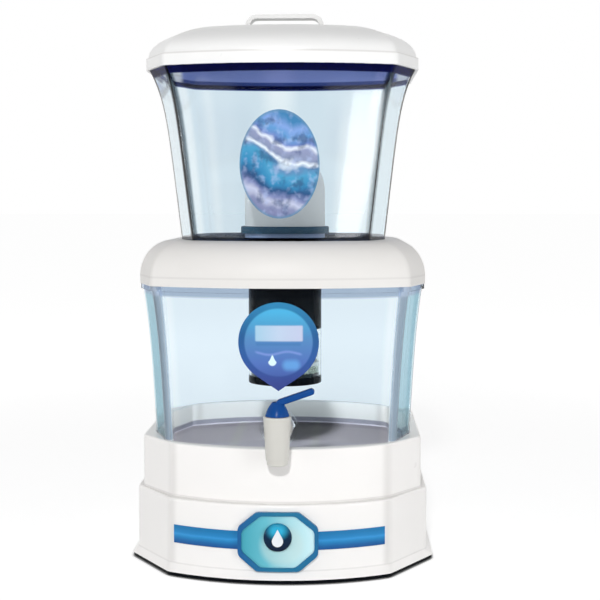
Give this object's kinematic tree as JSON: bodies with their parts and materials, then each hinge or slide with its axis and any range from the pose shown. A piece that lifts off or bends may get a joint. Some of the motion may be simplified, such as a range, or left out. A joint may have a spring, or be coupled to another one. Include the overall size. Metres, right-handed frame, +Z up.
{
  "type": "water purifier",
  "caption": "Countertop gravity water purifier: clear upper tank with a ceramic dome filter over a clear lower tank with a mineral cartridge, on a white stand with a quarter-turn tap.",
  "frame": {"origin": "middle of the whole footprint, stand and tap together, on the surface that the purifier stands on", "axes": "+Z up, -Y to the front where the tap is, +X to the right as seen from the front"},
  "size_m": [0.288, 0.3128, 0.526],
  "materials": {
    "white_plastic": "glossy moulded, warm white",
    "black_plastic": "satin black",
    "rubber": "matt",
    "steel": "plain",
    "blue_trim": "glossy mid blue",
    "teal_plastic": "satin teal",
    "badge_panel": "glossy cyan, paler to the right",
    "white_print": "glossy white",
    "clear_blue": "clear, tinted blue",
    "clear": "clear",
    "printed_label": "printed in blues",
    "blue_plastic": "glossy deep blue",
    "valve_plastic": "satin",
    "grey_plastic": "satin pale grey",
    "ceramic": "matt, unglazed",
    "carbon": "black granules",
    "mineral": "pale mineral balls",
    "sand": "fine pale grains",
    "felt": "white felt"
  },
  "bodies": {
    "base": {"base_shell": "white_plastic", "base_plate": "black_plastic", "rubber_feet": "rubber", "base_screws": "steel", "front_band": "blue_trim", "badge_bezel": "teal_plastic", "badge_face": "badge_panel", "badge_dome": "blue_trim", "badge_drop": "white_print"},
    "lower_tank": {"lower_tank": "clear_blue", "drop_label": "printed_label", "tap_body": "white_plastic", "tap_nozzle": "white_plastic", "tap_outer_washer": "rubber", "tap_inner_washer": "rubber", "tap_lock_nut": "valve_plastic"},
    "tap_valve": {"tap_lever": "blue_plastic", "tap_plug": "valve_plastic", "tap_o_ring": "rubber"},
    "upper_section": {"middle_cover": "white_plastic", "upper_tank": "clear_blue", "oval_label": "printed_label", "ceramic_dome": "ceramic", "filter_seal_ring": "rubber", "filter_base": "teal_plastic", "filter_washer": "rubber", "wing_nut": "valve_plastic", "cartridge_cap": "black_plastic", "cartridge_carbon_shell": "black_plastic", "cartridge_clear_shell": "clear", "cartridge_base": "black_plastic", "carbon_bed": "carbon", "mineral_bed": "mineral", "sand_bed": "sand", "separator_pad": "felt", "filter_pads": "felt"},
    "lid": {"lid": "white_plastic", "lid_handle": "grey_plastic", "handle_screws": "steel"}
  },
  "joints": [
    {"name": "lower_tank_lift", "type": "slide", "parent": "base", "child": "lower_tank", "axis": [0, 0, 1], "range_m": [0, 0.1]},
    {"name": "upper_section_lift", "type": "slide", "parent": "lower_tank", "child": "upper_section", "axis": [0, 0, 1], "range_m": [0, 0.14]},
    {"name": "lid_lift", "type": "slide", "parent": "upper_section", "child": "lid", "axis": [0, 0, 1], "range_m": [0, 0.1]},
    {"name": "lever_turn", "type": "hinge", "parent": "lower_tank", "child": "tap_valve", "pos_m": [0, -0.14391, 0.137], "axis": [0, 0, 1], "range_deg": [-90, 0]}
  ]
}
